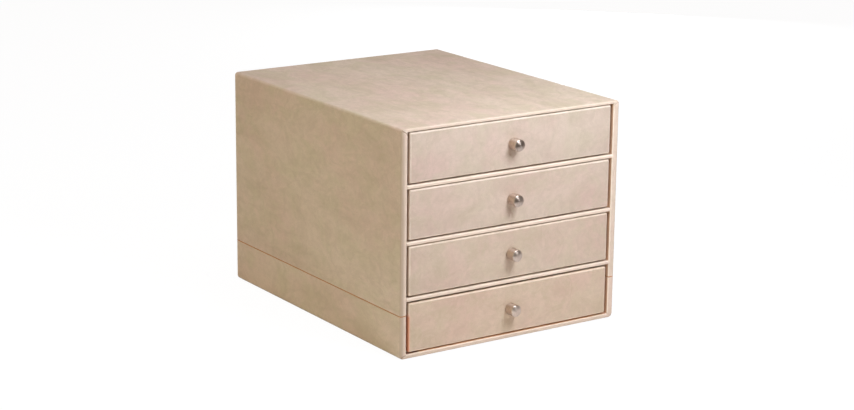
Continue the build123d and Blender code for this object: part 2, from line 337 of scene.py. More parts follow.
def case_wrap(name, seam_edge, outer_end, mouth_end, long_edge, seed):
    """One half of the case's leatherette, carried round the case from seam to seam.

    Each point mixes a sharp-cornered frame (the mouth, the back panel's edge) with a rounded
    one (the outside). The ends at the seam curl inwards by a quarter circle, the corners of
    the front are folded, and the flat faces are uneven by a tenth of a millimetre.

    Fields: 'wear_and_highlight' for edge wear with painted highlight on rounded edges, curls
    and flaps, 'inside' where the mouth is lined, 'facing' on the front, 'fold' for painted
    shade in the folds' grooves, 'lip' for the warm band just inside the mouth,
    'painted_edge_shade' for painted shade on the left wall's front along its outer rounding.
    """
    up = 1 if outer_end > seam_edge else -1
    height = (outer_end - seam_edge) * up
    mouth = (mouth_end - seam_edge) * up
    curl_steps = (0, 0.08, 0.2, 0.4, 0.7, 1.1, 1.7, 2.6, 4.5)
    columns = round_the_case(curl_steps, 46, 14, 64)
    blend, mouth_out, inset, y, facing, worn_and_lit = (c[None, :] for c in wrap_profile().T)
    from_seam = columns["height"] * height
    depth_in_curl = np.clip(1 - from_seam / SEAM_CURL, 0, 1)
    curl = SEAM_CURL * (1 - np.sqrt(1 - depth_in_curl**2))

    on_window = mouth_out < 0
    sharp_half = np.where(on_window, CASE_HALF - BACK_BORDER, MOUTH_HALF + mouth_out + curl)
    sharp_height = np.where(on_window, height - BACK_BORDER, mouth + mouth_out)
    along = columns["half"] * CASE_HALF * 1.7 + from_seam
    unevenness = SIDE_UNEVEN * wobble(along, y, 90 * MM, seed)
    flat_side = (blend == 1) & (facing == 0)
    round_inset = inset + curl + np.where(flat_side, unevenness, 0)
    round_half = CASE_HALF - round_inset
    round_height = height - round_inset
    radius = long_edge - inset

    sharp_x = sharp_half * columns["half"] + MITRE_LEG * columns["sharp_x"]
    sharp_z = sharp_height * columns["height"] + MITRE_LEG * columns["sharp_z"]
    round_x = round_half * columns["half"] + radius * columns["round_x"]
    round_z = round_height * columns["height"] + radius * columns["round_z"]
    x = (1 - blend) * sharp_x + blend * round_x
    z = (1 - blend) * sharp_z + blend * round_z

    front_share = np.clip(facing, 0, 1)
    outer_round = (blend == 1) & (facing > 0) & (y > CASE_FRONT)
    on_side = np.clip((np.abs(columns["half"]) - 0.97) / 0.03, 0, 1)
    groove, tuck, flap = mitre(columns, blend, up)
    ripple = FRONT_RIPPLE * wobble(along, y, 26 * MM, seed + 1)
    y = y + facing * curl + front_share * (FOLD_DEPTH * groove + TUCK_DEPTH * tuck + ripple)
    points = np.stack(np.broadcast_arrays(x, y, seam_edge + up * z), axis=-1)

    # edge wear with painted highlight: faint on the outer rounding, strong on the flap
    worn_and_lit = worn_and_lit * np.where(outer_round, OUTER_WEAR_AND_HIGHLIGHT, 1)
    worn_and_lit = np.maximum(worn_and_lit, FLAP_WEAR_AND_HIGHLIGHT * flap * front_share)
    in_mouth = (blend == 0) & (mouth_out == 0) & (facing == 0)
    at_left, at_right = columns["half"] < -0.9, columns["half"] > 0.9
    lined_from = np.where(at_left, LINING_FROM_LEFT, LINING_FROM)
    depth = points[..., 1] - CASE_FRONT
    inside = in_mouth * np.clip((depth - lined_from) / LINING_FADE, 0, 1)
    on_floor = 1.0 if up < 0 else 0.0
    lip_share = np.select([at_right, at_left], [RIGHT_LIP, 0.0], on_floor)
    # painted shade on the left wall's front, darkest at its outer rounding
    from_edge_shade_end = EDGE_SHADE_WIDTH - CASE_HALF - points[..., 0]
    fields = {
        "wear_and_highlight": np.maximum(worn_and_lit, curl / SEAM_CURL),
        "inside": inside,
        "facing": front_share * np.where(outer_round, 1 - 0.7 * on_side, 1),
        "fold": groove * front_share,
        "lip": in_mouth * (1 - inside) * lip_share,
        "painted_edge_shade": front_share**0.5 * np.clip(from_edge_shade_end / EDGE_SHADE_FADE, 0, 1) * on_side,
    }
    return thicken(grid_mesh(name, points, flip=up < 0, fields=fields), SKIN)


# ---------------------------------------------------------------- shelf edges
def shelf_wrap(number):
    """A shelf's leatherette: a U section round its front edge, carried from wall to wall.

    The section's corners are quarter circles. At both ends it draws in by a quarter circle,
    and the front is uneven by a tenth of a millimetre along the shelf.
    """
    low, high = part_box(f"shelf_{number}_cover")
    rows = [(y, high.z, 0, 0) for y in np.linspace(high.y, low.y + SHELF_EDGE, 26)]
    for turn in quarter(6):
        forward, down = SHELF_EDGE * (1 - math.sin(turn)), SHELF_EDGE * (1 - math.cos(turn))
        rows.append((low.y + forward, high.z - down, math.sin(turn), math.sin(2 * turn)))
    for turn in quarter(6)[::-1]:
        forward, up = SHELF_EDGE * (1 - math.sin(turn)), SHELF_EDGE * (1 - math.cos(turn))
        rows.append((low.y + forward, low.z + up, math.sin(turn), SHELF_FOOT_WEAR_AND_HIGHLIGHT * math.sin(2 * turn)))
    rows += [(y, low.z, 0, 0) for y in np.linspace(low.y + SHELF_EDGE, high.y, 26)]
    y, z, facing, worn_and_lit = (c[None, :] for c in np.array(rows, float).T)
    ends = np.array([0, 0.06, 0.16, 0.4, 0.8]) * MM
    between = np.linspace(low.x + 2 * MM, high.x - 2 * MM, 90)
    x = np.concatenate([low.x + ends, between, (high.x - ends)[::-1]])[:, None]
    from_end = np.minimum(x - low.x, high.x - x)
    draw_in = SHELF_CURL * (1 - np.sqrt(1 - np.clip(1 - from_end / SHELF_CURL, 0, 1) ** 2))
    middle = (low.z + high.z) / 2
    z = z + np.sign(middle - z) * draw_in * 0.8
    uneven = SHELF_UNEVEN * wobble(x, z, 40 * MM, 50 + number)
    y = y + facing * (draw_in + uneven)
    points = np.stack(np.broadcast_arrays(x, y, z), axis=-1)
    fields = {"wear_and_highlight": np.maximum(worn_and_lit, draw_in / SHELF_CURL), "facing": facing}
    wrap = grid_mesh(f"shelf_{number}_wrap", points, flip=True, fields=fields)
    return thicken(wrap, SHELF_SKIN)


# ---------------------------------------------------------------- covered panels
def rounded_outline(half_x, half_z, radius, straight_x, straight_z, corner_steps):
    """Points round a rectangle with round corners, anticlockwise seen from the front.

    Each side is a straight run and each corner a quarter circle. The second half is the first
    one turned by half a turn. The third result is 1 in the middle of a corner and 0 elsewhere.
    """
    run_x = np.linspace(-1, 1, straight_x + 1)[:-1]
    run_z = np.linspace(-1, 1, straight_z + 1)[:-1]
    turn = np.linspace(0, math.pi / 2, corner_steps + 1)[:-1]
    none_x, none_z, none = np.zeros_like(run_x), np.zeros_like(run_z), np.zeros_like(turn)
    # half the outline: along the foot, round the right foot corner, up, round the right top one
    edge_x = np.concatenate([run_x, none + 1, none_z + 1, none + 1])
    edge_z = np.concatenate([none_x - 1, none - 1, run_z, none + 1])
    arc_x = np.concatenate([none_x, np.sin(turn), none_z + 1, np.cos(turn)])
    arc_z = np.concatenate([none_x - 1, -np.cos(turn), none_z, np.sin(turn)])
    corner = np.concatenate([none_x, np.sin(2 * turn), none_z, np.sin(2 * turn)])
    edge_x, edge_z, arc_x, arc_z = (np.append(c, -c)[:, None] for c in (edge_x, edge_z, arc_x, arc_z))
    x = edge_x * (half_x - radius) + arc_x * radius
    z = edge_z * (half_z - radius) + arc_z * radius
    return x, z, np.append(corner, corner)[:, None]


def covered_panel(name, low, high, radii, seed, facing=-1, puff=0.16 * MM):
    """A board with leatherette drawn over its face and edges.

    Rings follow the rounded outline: up the edge, round it by a quarter circle, and over the
    face, where they turn from the outline into a circle round the middle. The face rises
    towards its middle by 'puff' over the first centimetre and is slightly uneven. radii are
    those of the outline's corners, of the edge and of the hole in the middle, 0 for none.
    """
    corner_radius, edge_radius, middle_radius = radii
    middle_x, middle_z = (low.x + high.x) / 2, (low.z + high.z) / 2
    half_x, half_z = (high.x - low.x) / 2, (high.z - low.z) / 2
    depth = high.y - low.y
    rows = [(0, back, 0, 0) for back in np.linspace(depth, edge_radius, 6)]
    for turn in quarter(8):
        inset, back = edge_radius * (1 - math.cos(turn)), edge_radius * (1 - math.sin(turn))
        rows.append((inset, back, 0, math.sin(2 * turn)))
    spread = np.linspace(0, 1 if middle_radius else 0.98, 30)[1:] ** 1.35
    rows += [(edge_radius, 0, share, 0) for share in spread]
    inset, back, share, worn_and_lit = (c[None, :] for c in np.array(rows, float).T)
    radius = np.maximum(corner_radius - inset, 0.25 * MM)
    x, z, corner = rounded_outline(half_x - inset, half_z - inset, radius, 80, 18, 8)
    angle = np.arctan2(z / half_z, x / half_x)
    x = (1 - share) * x + share * middle_radius * np.cos(angle)
    z = (1 - share) * z + share * middle_radius * np.sin(angle)
    from_edge = np.minimum(half_x - np.abs(x), half_z - np.abs(z))
    on_face = back == 0
    sink = puff * np.exp(-np.maximum(from_edge - edge_radius, 0) / (4 * MM))
    uneven = PANEL_UNEVEN * wobble(x, z, 60 * MM, seed)
    back = back + np.where(on_face, sink + uneven, puff)
    pleats = PLEAT_DEPTH * corner * (0.5 + 0.5 * np.cos(angle * 260)) * (inset == 0)
    pull = 1 - pleats / half_z
    y = low.y + back if facing < 0 else high.y - back
    points = np.stack([middle_x + x * pull, y, middle_z + z * pull], axis=-1)
    wear_and_highlight = np.maximum(worn_and_lit, PANEL_CORNER_WEAR_AND_HIGHLIGHT * corner * (inset == 0))
    poles = () if middle_radius else (-1,)
    at_left = np.clip((STAIN_WIDTH - half_x - x) / STAIN_FADE, 0, 1)
    below_seam = np.clip((SEAM_MIDDLE + MM - middle_z - z) / (3 * MM), 0, 1)
    fields = {"wear_and_highlight": wear_and_highlight, "stain": at_left * below_seam}
    piece = grid_mesh(name, points, wrap_u=True, poles=poles, flip=facing > 0, fields=fields)
    return thicken(piece, PANEL_SKIN)


# ---------------------------------------------------------------- knobs
def turned_knob(number):
    """A turned knob: its half section carried round the Y axis, with a pole at each end.

    From the end of the screw's bore: the bore's wall, the foot, a chamfer, the side with three
    shallow tool rings, a rounded rim, and the face, which is crowned and has one shallow ring
    near its edge. The texture's U runs along the section and its V round the axis.
    """
    low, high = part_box(f"drawer_{number}_knob")
    radius, length = (high.x - low.x) / 2, high.y - low.y
    bore_end = high.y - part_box(f"drawer_{number}_screw")[0].y + BORE_BEYOND_SCREW
    foot, shoulder = radius - KNOB_CHAMFER, length - KNOB_CROWN - KNOB_RIM
    rows = [(bore_end, KNOB_BORE * 0.4), (bore_end, KNOB_BORE), (KNOB_CORNER, KNOB_BORE)]
    rows += [(0, KNOB_BORE + KNOB_CORNER), (0, foot - KNOB_CORNER), (0, foot), (KNOB_CHAMFER, radius)]
    side = np.linspace(KNOB_CHAMFER + KNOB_CORNER, shoulder, 42)
    tool = sum(np.exp(-(((side - at) / KNOB_RING_WIDTH) ** 2)) for at in KNOB_RINGS)
    rows += list(zip(side, radius - KNOB_RING_DEPTH * tool))
    for turn in quarter(12):
        rows.append((shoulder + KNOB_RIM * math.sin(turn), radius - KNOB_RIM * (1 - math.cos(turn))))
    for share in np.linspace(1, 0.02, 40)[1:]:
        ring = FACE_RING_DEPTH * math.exp(-(((share - FACE_RING_AT) / FACE_RING_WIDTH) ** 2))
        rows.append((length - KNOB_CROWN * share**2 - ring, (radius - KNOB_RIM) * share))
    out, r = (c[None, :] for c in np.array(rows, float).T)
    around = 96
    angle = np.arange(around)[:, None] / around * math.tau
    middle_x, middle_z = (low.x + high.x) / 2, (low.z + high.z) / 2
    x, z = middle_x + r * np.cos(angle), middle_z + r * np.sin(angle)
    points = np.stack(np.broadcast_arrays(x, high.y - out, z), axis=-1)
    run = np.append(0, np.cumsum(np.hypot(np.diff(out[0]), np.diff(r[0]))))[None, :] / length
    turn_share = np.arange(around + 1)[:, None] / around
    uv = np.stack(np.broadcast_arrays(run, turn_share), axis=-1)
    return grid_mesh(f"knob_{number}", points, wrap_u=True, poles=(0, -1), uv=uv, fields={"run": run})


# ---------------------------------------------------------------- the seam
def seam_line(side, depth):
    """The wrap's section at the seam, sunk by 'depth': its places and its outward directions."""
    blend, mouth_out, inset, y = wrap_profile().T[:4]
    sharp = np.where(mouth_out < 0, CASE_HALF - BACK_BORDER, MOUTH_HALF + mouth_out)
    x = (1 - blend) * sharp + blend * (CASE_HALF - inset)
    line = np.stack([side * x, y], axis=-1)[:-1]
    line = line[np.append(True, np.hypot(*np.diff(line, axis=0).T) > 1e-7)]
    direction = np.gradient(line, axis=0)
    direction /= np.linalg.norm(direction, axis=1, keepdims=True)
    outward = side * np.stack([direction[:, 1], -direction[:, 0]], axis=-1)
    return line - outward * depth, outward


def seam_bed(name, side):
    """The raw edge between the two wraps: a strip along the seam, a little proud in its middle."""
    line, outward = seam_line(side, BED_SUNK)
    across = np.linspace(-1, 1, 7)[None, :]
    rise = BED_RISE * (1 - across**2)[..., None]
    flat = line[:, None, :] + outward[:, None, :] * rise
    heights = SEAM_MIDDLE + across * BED_HALF
    points = np.stack(np.broadcast_arrays(flat[..., 0], flat[..., 1], heights), axis=-1)
    return thicken(grid_mesh(name, points, flip=side < 0), BED_SKIN)


def seam_stitches(name, side, seed):
    """Thread stitches end to end along the seam: tapered, slightly tilted, oval tubes."""
    line, _ = seam_line(side, STITCH_SUNK)
    run = np.append(0, np.cumsum(np.hypot(*np.diff(line, axis=0).T)))
    count = int((run[-1] - 2 * STITCH_PITCH) / STITCH_PITCH)
    rng = np.random.default_rng(seed)
    starts = (1.2 + np.arange(count)) * STITCH_PITCH + rng.normal(0, STITCH_JITTER, count)
    share = np.linspace(0, 1, 9)
    at = starts[:, None] + share * STITCH_PITCH * STITCH_LENGTH
    x, y = np.interp(at, run, line[:, 0]), np.interp(at, run, line[:, 1])
    back, ahead = at - 0.2 * MM, at + 0.2 * MM
    dx = np.interp(ahead, run, line[:, 0]) - np.interp(back, run, line[:, 0])
    dy = np.interp(ahead, run, line[:, 1]) - np.interp(back, run, line[:, 1])
    size = np.hypot(dx, dy)
    out_x, out_y = side * dy / size, -side * dx / size
    dive = STITCH_DIVE * (2 * share - 1) ** 6
    tilt = rng.normal(0.13, 0.03, count)[:, None] * MM
    middle_z = SEAM_MIDDLE + tilt * (2 * share - 1)
    taper = STITCH_RADIUS * (1 - 0.55 * (2 * share - 1) ** 4)
    around = (np.arange(8) / 8 * math.tau)[None, None, :]
    rise = (taper * 0.8)[None, :, None] * np.cos(around) - dive[None, :, None]
    z = middle_z[..., None] + taper[None, :, None] * np.sin(around)
    x, y = x[..., None] + out_x[..., None] * rise, y[..., None] + out_y[..., None] * rise
    points = np.stack([x, y, z], axis=-1)
    return many_meshes(name, points, flip=side > 0)


# ---------------------------------------------------------------- materials
def srgb(red, green, blue):
    """A screen colour, 0 to 255, as the linear colour that the shaders use."""
    parts = [c / 255 for c in (red, green, blue)]
    return [c / 12.92 if c <= 0.04045 else ((c + 0.055) / 1.055) ** 2.4 for c in parts] + [1.0]


def fed(socket, tree, value):
    """Links a socket value, or sets a plain one."""
    if isinstance(value, bpy.types.NodeSocket):
        tree.links.new(value, socket)
    else:
        socket.default_value = value


def shader_node(tree, kind, **inputs):
    """A shader node with its inputs linked or set by name, with _ for spaces."""
    node = tree.nodes.new(f"ShaderNode{kind}")
    for name, value in inputs.items():
        fed(node.inputs[name.replace("_", " ")], tree, value)
    return node


def noise(tree, vector, scale, detail=3.0, roughness=0.55, distortion=0.0):
    """Fractal noise, 0 to 1."""
    node = shader_node(tree, "TexNoise", Vector=vector, Scale=scale, Detail=detail)
    node.inputs["Roughness"].default_value = roughness
    node.inputs["Distortion"].default_value = distortion
    return node.outputs["Fac"]


def stretch(tree, value, low, high, out_low=0.0, out_high=1.0):
    """Maps a value from one range to another, smoothly and with clamped ends."""
    node = shader_node(tree, "MapRange", Value=value, From_Min=low, From_Max=high)
    node.interpolation_type = "SMOOTHSTEP"
    fed(node.inputs["To Min"], tree, out_low)
    fed(node.inputs["To Max"], tree, out_high)
    return node.outputs["Result"]


def calc(tree, operation, a, b=0.0):
    """One sum, product or other step on two values."""
    node = tree.nodes.new("ShaderNodeMath")
    node.operation = operation
    fed(node.inputs[0], tree, a)
    fed(node.inputs[1], tree, b)
    return node.outputs[0]


def times(tree, a, b):
    """The product of two values."""
    return calc(tree, "MULTIPLY", a, b)


def off_middle(tree, value):
    """How far a noise stands from its middle value: 0 along the lines where it crosses it."""
    return calc(tree, "ABSOLUTE", calc(tree, "SUBTRACT", value, 0.5))


def mix(tree, share, a, b, clamp=True):
    """Mixes two colours by a share. Unclamped, a share over 1 goes on past the second one."""
    node = tree.nodes.new("ShaderNodeMix")
    node.data_type = "RGBA"
    node.clamp_factor = clamp
    fed(node.inputs[0], tree, share)
    fed(node.inputs[6], tree, a)
    fed(node.inputs[7], tree, b)
    return node.outputs[2]


def placed(tree, offset=(0, 0, 0), turn=(0, 0, 0), scale=(1, 1, 1)):
    """Object coordinates, moved, turned and stretched for one piece."""
    place = tree.nodes.new("ShaderNodeTexCoord").outputs["Object"]
    mapping = shader_node(tree, "Mapping", Vector=place, Location=offset, Rotation=turn, Scale=scale)
    return mapping.outputs["Vector"]


def coordinate(tree, place, axis):
    """One coordinate of a place."""
    return shader_node(tree, "SeparateXYZ", Vector=place).outputs[axis]


def attribute(tree, name):
    """A value stored on the piece's points."""
    node = tree.nodes.new("ShaderNodeAttribute")
    node.attribute_name = name
    return node.outputs["Fac"]


def painted(tree, colour, field, over, strength=1.0):
    """The colour with another one over it where a field of the piece's points is above 0."""
    return mix(tree, times(tree, attribute(tree, field), strength), colour, over)


def new_group(name, inputs, outputs):
    """An empty node group with named sockets. Returns the tree and its input sockets by name."""
    tree = bpy.data.node_groups.new(name, "ShaderNodeTree")
    kinds = {"vector": "NodeSocketVector", "value": "NodeSocketFloat", "colour": "NodeSocketColor"}
    for label, kind in inputs.items():
        tree.interface.new_socket(label, in_out="INPUT", socket_type=kinds[kind])
    for label, kind in outputs.items():
        tree.interface.new_socket(label, in_out="OUTPUT", socket_type=kinds[kind])
    given = tree.nodes.new("NodeGroupInput")
    result = tree.nodes.new("NodeGroupOutput")
    return tree, {label: given.outputs[label] for label in inputs}, result


def use_group(tree, group, **inputs):
    """Places a node group and feeds its inputs by name, with _ for spaces."""
    node = tree.nodes.new("ShaderNodeGroup")
    node.node_tree = group
    for key, value in inputs.items():
        fed(node.inputs[key.replace("_", " ")], tree, value)
    return node.outputs


def clouding_group():
    """Soft marbling of a buffed leatherette: three overlapping cloud masks and a fine speckle."""
    tree, given, result = new_group(
        "clouding",
        {"Vector": "vector"},
        {"Broad": "value", "Patches": "value", "Veins": "value", "Flecks": "value", "Speckle": "value"},
    )
    vector = given["Vector"]
    bend = shader_node(tree, "TexNoise", Vector=vector, Scale=34)
    shift = tree.nodes.new("ShaderNodeVectorMath")
    shift.operation = "MULTIPLY_ADD"
    tree.links.new(bend.outputs["Color"], shift.inputs[0])
    shift.inputs[1].default_value = (0.016, 0.016, 0.016)
    tree.links.new(vector, shift.inputs[2])
    bent = shift.outputs[0]
    broad = stretch(tree, noise(tree, bent, 13, 4, 0.55, 0.3), 0.34, 0.68)
    patches = stretch(tree, noise(tree, bent, 42, 5, 0.62, 0.5), 0.40, 0.66)
    veins = stretch(tree, off_middle(tree, noise(tree, bent, 30, 4, 0.6, 0.8)), 0.0, 0.07, 1.0, 0.0)
    flecks = stretch(tree, noise(tree, bent, 210, 4, 0.65), 0.36, 0.64)
    speckle = noise(tree, vector, 900, 3, 0.7)
    made = {"Broad": broad, "Patches": patches, "Veins": veins, "Flecks": flecks, "Speckle": speckle}
    for label, value in made.items():
        tree.links.new(value, result.inputs[label])
    return tree


def grain_group():
    """Fine pebbled grain with hair creases, as a height from 0 to 1."""
    inputs = {"Vector": "vector", "Pebble": "value"}
    tree, given, result = new_group("fine_grain", inputs, {"Height": "value"})
    vector = given["Vector"]
    cells = shader_node(tree, "TexVoronoi", Vector=vector, Scale=given["Pebble"])
    cells.feature = "SMOOTH_F1"
    cells.inputs["Smoothness"].default_value = 0.6
    pebbles = stretch(tree, cells.outputs["Distance"], 0.05, 0.75, 1.0, 0.0)
    crease = stretch(tree, off_middle(tree, noise(tree, vector, 240, 4, 0.6, 0.6)), 0.0, 0.05)
    fuzz = noise(tree, vector, 5200, 2, 0.6)
    height = calc(tree, "ADD", times(tree, pebbles, 0.45), times(tree, crease, 0.35))
    height = calc(tree, "ADD", height, times(tree, fuzz, 0.2))
    tree.links.new(height, result.inputs["Height"])
    return tree


def fibre_group():
    """Pressed paper or board: short crossing fibres, as a mask and a height."""
    inputs = {"Vector": "vector", "Size": "value"}
    tree, given, result = new_group("fibres", inputs, {"Mask": "value", "Height": "value"})
    vector = tree.nodes.new("ShaderNodeVectorMath")
    vector.operation = "SCALE"
    tree.links.new(given["Vector"], vector.inputs[0])
    tree.links.new(given["Size"], vector.inputs["Scale"])
    scaled = vector.outputs[0]
    masks = []
    for turn, stretch_by in (((0.3, 0.5, 0.4), (14, 1.6, 14)), ((1.1, 0.2, 1.3), (1.6, 15, 12))):
        mapping = shader_node(tree, "Mapping", Vector=scaled, Rotation=turn, Scale=stretch_by)
        masks.append(noise(tree, mapping.outputs["Vector"], 1.0, 3, 0.6, 0.4))
    both = times(tree, calc(tree, "ADD", *masks), 0.5)
    tree.links.new(stretch(tree, both, 0.38, 0.62), result.inputs["Mask"])
    tree.links.new(both, result.inputs["Height"])
    return tree


CLOUDING = clouding_group()
GRAIN = grain_group()
FIBRES = fibre_group()


def new_material(name):
    """A material with an empty tree, its principled shader and the tree."""
    material = bpy.data.materials.new(name)
    material.use_nodes = True
    tree = material.node_tree
    tree.nodes.clear()
    shader = tree.nodes.new("ShaderNodeBsdfPrincipled")
    output = tree.nodes.new("ShaderNodeOutputMaterial")
    tree.links.new(shader.outputs["BSDF"], output.inputs["Surface"])
    return material, tree, shader


def finished(tree, shader, colour, roughness, height, strength, distance):
    """Links the shader's colour and roughness, and raises its surface by a height."""
    bump = shader_node(tree, "Bump", Strength=strength, Distance=distance, Height=height)
    tree.links.new(colour, shader.inputs["Base Color"])
    tree.links.new(roughness, shader.inputs["Roughness"])
    tree.links.new(bump.outputs["Normal"], shader.inputs["Normal"])


TAN = srgb(216, 193, 171)
ROSE = srgb(217, 183, 167)
OLIVE = srgb(207, 189, 161)
# pale colour of edge wear with painted highlight
CREAM = srgb(252, 234, 212)
# painted highlight on the front edges
EDGE_HIGHLIGHT = srgb(246, 221, 197)
SHADE = srgb(189, 165, 141)
MIDDLE = srgb(211, 187, 165)
PEACH = srgb(236, 164, 126)
# painted shade in the folds' grooves
FOLD_SHADE = srgb(128, 92, 66)
LIP = srgb(244, 190, 142)


def leatherette(name, offset, turn=(0, 0, 0), grain_run=(1, 1, 1), streak_run=(20, 46, 46), **look):
    """Buffed, mottled leatherette.

    grain_run and streak_run are how finely the pattern lies along each axis. The look may name
    'warmth' (how far the patches go from tan to rose), 'depth' (how strongly they stand out),
    'top_depth' (the same on the case's top), 'tint' (a factor on each colour channel),
    'edge_light' (how much painted highlight pales the front edges), 'inner_colour'
    for the inside of the mouth, 'folded' for the case's painted shade in its folds and along
    the left front edge and for its warm lip, and 'stained' for an edge with a peach stain.
    """
    tint = np.append(look.get("tint", (1, 1, 1)), 1)
    tinted = (list(colour * tint) for colour in (TAN, ROSE, OLIVE, CREAM, SHADE, MIDDLE))
    tan, rose, olive, cream, shade, average = tinted
    material, tree, shader = new_material(name)
    vector = placed(tree, offset, turn, grain_run)
    cloud = use_group(tree, CLOUDING, Vector=vector)
    colour = mix(tree, times(tree, cloud["Broad"], look.get("warmth", 0.5)), tan, rose)
    masks = (("Patches", 0.55, olive), ("Veins", 0.16, shade), ("Flecks", 0.17, shade))
    for mask, strength, over in masks:
        colour = mix(tree, times(tree, cloud[mask], strength), colour, over)
    colour = mix(tree, stretch(tree, cloud["Speckle"], 0.3, 0.8, 0.0, 0.26), colour, shade)
    streaks = noise(tree, placed(tree, offset, turn, streak_run), 1.0, 3, 0.6)
    colour = mix(tree, stretch(tree, streaks, 0.42, 0.72, 0.0, 0.22), colour, shade)
    depth = look.get("depth", 1.5)
    if "top_depth" in look:
        fade = (CASE_TOP - TOP_FADE, CASE_TOP - MM)
        depth = stretch(tree, coordinate(tree, placed(tree), "Z"), *fade, depth, look["top_depth"])
    colour = mix(tree, depth, average, colour, clamp=False)
    # painted highlight where the piece faces front
    if "edge_light" in look:
        colour = painted(tree, colour, "facing", EDGE_HIGHLIGHT, look["edge_light"])
    # edge wear with painted highlight, patchy
    patchy = stretch(tree, cloud["Patches"], 0.0, 1.0, 0.75, 0.45)
    rubbed_and_lit = times(tree, attribute(tree, "wear_and_highlight"), patchy)
    colour = mix(tree, rubbed_and_lit, colour, cream)
    if "inner_colour" in look:
        colour = painted(tree, colour, "inside", look["inner_colour"])
    # painted shade along the left front edge and in the folds' grooves, and the warm lip
    if look.get("folded"):
        colour = painted(tree, colour, "painted_edge_shade", shade)
        colour = painted(tree, colour, "lip", LIP, 0.9)
        colour = painted(tree, colour, "fold", FOLD_SHADE, 0.85)
    if look.get("stained"):
        colour = painted(tree, colour, "stain", PEACH)
    rough = stretch(tree, cloud["Patches"], 0.0, 1.0, 0.58, 0.68)
    rough = calc(tree, "ADD", rough, times(tree, rubbed_and_lit, -0.12))
    shader.inputs["Specular IOR Level"].default_value = 0.26
    grain = use_group(tree, GRAIN, Vector=placed(tree, offset, turn), Pebble=1150.0)
    finished(tree, shader, colour, rough, grain["Height"], 0.32, 0.12 * MM)
    return material


def paper(name, colour, dark, fibre_size, emboss=0.0):
    """Matt paper with fibres, and a fine linen emboss where 'emboss' is over 0."""
    material, tree, shader = new_material(name)
    vector = placed(tree)
    fibres = use_group(tree, FIBRES, Vector=vector, Size=fibre_size)
    stain = noise(tree, vector, 22, 3, 0.5)
    shade = mix(tree, times(tree, fibres["Mask"], 0.35), colour, dark)
    shade = mix(tree, stretch(tree, stain, 0.4, 0.7, 0.0, 0.3), shade, dark)
    shader.inputs["Specular IOR Level"].default_value = 0.25
    height = fibres["Height"]
    if emboss:
        threads = []
        for direction in ("X", "Y", "Z"):
            wave = shader_node(tree, "TexWave", Vector=vector, Scale=260, Distortion=0.6, Detail_Scale=0.5)
            wave.bands_direction = direction
            threads.append(wave.outputs["Fac"])
        linen = calc(tree, "ADD", calc(tree, "ADD", threads[0], threads[1]), threads[2])
        height = calc(tree, "ADD", height, times(tree, linen, emboss))
    finished(tree, shader, shade, stretch(tree, stain, 0.3, 0.7, 0.82, 0.92), height, 0.3, 0.1 * MM)
    return material


def turned_metal(name):
    """Turned steel: fine rings along the section, so that light draws out across them."""
    material, tree, shader = new_material(name)
    shader.inputs["Metallic"].default_value = 1.0
    shader.inputs["Anisotropic"].default_value = 0.78
    across_rings = tree.nodes.new("ShaderNodeTangent")
    across_rings.direction_type = "UV_MAP"
    across_rings.uv_map = "UVMap"
    tree.links.new(across_rings.outputs["Tangent"], shader.inputs["Tangent"])
    lines = tree.nodes.new("ShaderNodeTexNoise")
    lines.noise_dimensions = "1D"
    tree.links.new(times(tree, attribute(tree, "run"), 150.0), lines.inputs["W"])
    lines.inputs["Scale"].default_value = 1.0
    lines.inputs["Detail"].default_value = 4
    lines.inputs["Roughness"].default_value = 0.7
    smudge = noise(tree, placed(tree), 420, 3, 0.55, 0.4)
    colour = mix(tree, lines.outputs["Fac"], srgb(191, 169, 153), srgb(219, 199, 183))
    colour = mix(tree, stretch(tree, smudge, 0.45, 0.75, 0.0, 0.3), colour, srgb(150, 124, 106))
    rough = stretch(tree, smudge, 0.35, 0.7, 0.34, 0.46)
    finished(tree, shader, colour, rough, lines.outputs["Fac"], 0.25, 0.02 * MM)
    return material


def zinc(name):
    """Bright zinc plating with a fine blotchy crystal."""
    material, tree, shader = new_material(name)
    shader.inputs["Metallic"].default_value = 1.0
    blotch = noise(tree, placed(tree), 900, 3, 0.6)
    colour = mix(tree, blotch, srgb(168, 168, 170), srgb(206, 206, 204))
    rough = stretch(tree, blotch, 0.3, 0.7, 0.28, 0.42)
    finished(tree, shader, colour, rough, blotch, 0.2, 0.02 * MM)
    return material


def thread(name, colour, dark, twist):
    """Waxed thread: the strands show as fine slanting lines, darker between them."""
    material, tree, shader = new_material(name)
    vector = placed(tree)
    strands = shader_node(tree, "TexWave", Vector=vector, Scale=twist, Distortion=1.2)
    strands.bands_direction = "DIAGONAL"
    patch = noise(tree, vector, 160, 2, 0.5)
    shade = mix(tree, strands.outputs["Fac"], dark, colour)
    shade = mix(tree, stretch(tree, patch, 0.4, 0.7, 0.0, 0.35), shade, dark)
    shader.inputs["Sheen Weight"].default_value = 0.2
    rough = stretch(tree, patch, 0.3, 0.7, 0.5, 0.65)
    finished(tree, shader, shade, rough, strands.outputs["Fac"], 0.4, 0.06 * MM)
    return material


# ---------------------------------------------------------------- dressing the object
def dress(piece, body, slot, material, *nodes):
    """A finished piece: it rides its body, takes its material, and stands for its nodes. Its slot is not
    used.
    """
    piece.data.materials.clear()
    piece.data.materials.append(material)
    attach(piece, body)
    if nodes:
        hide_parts(*nodes)
    return piece


def finish_node(node, material):
    """A CAD node that stays, with its own material."""
    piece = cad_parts[node]
    piece.data.materials.clear()
    piece.data.materials.append(material)


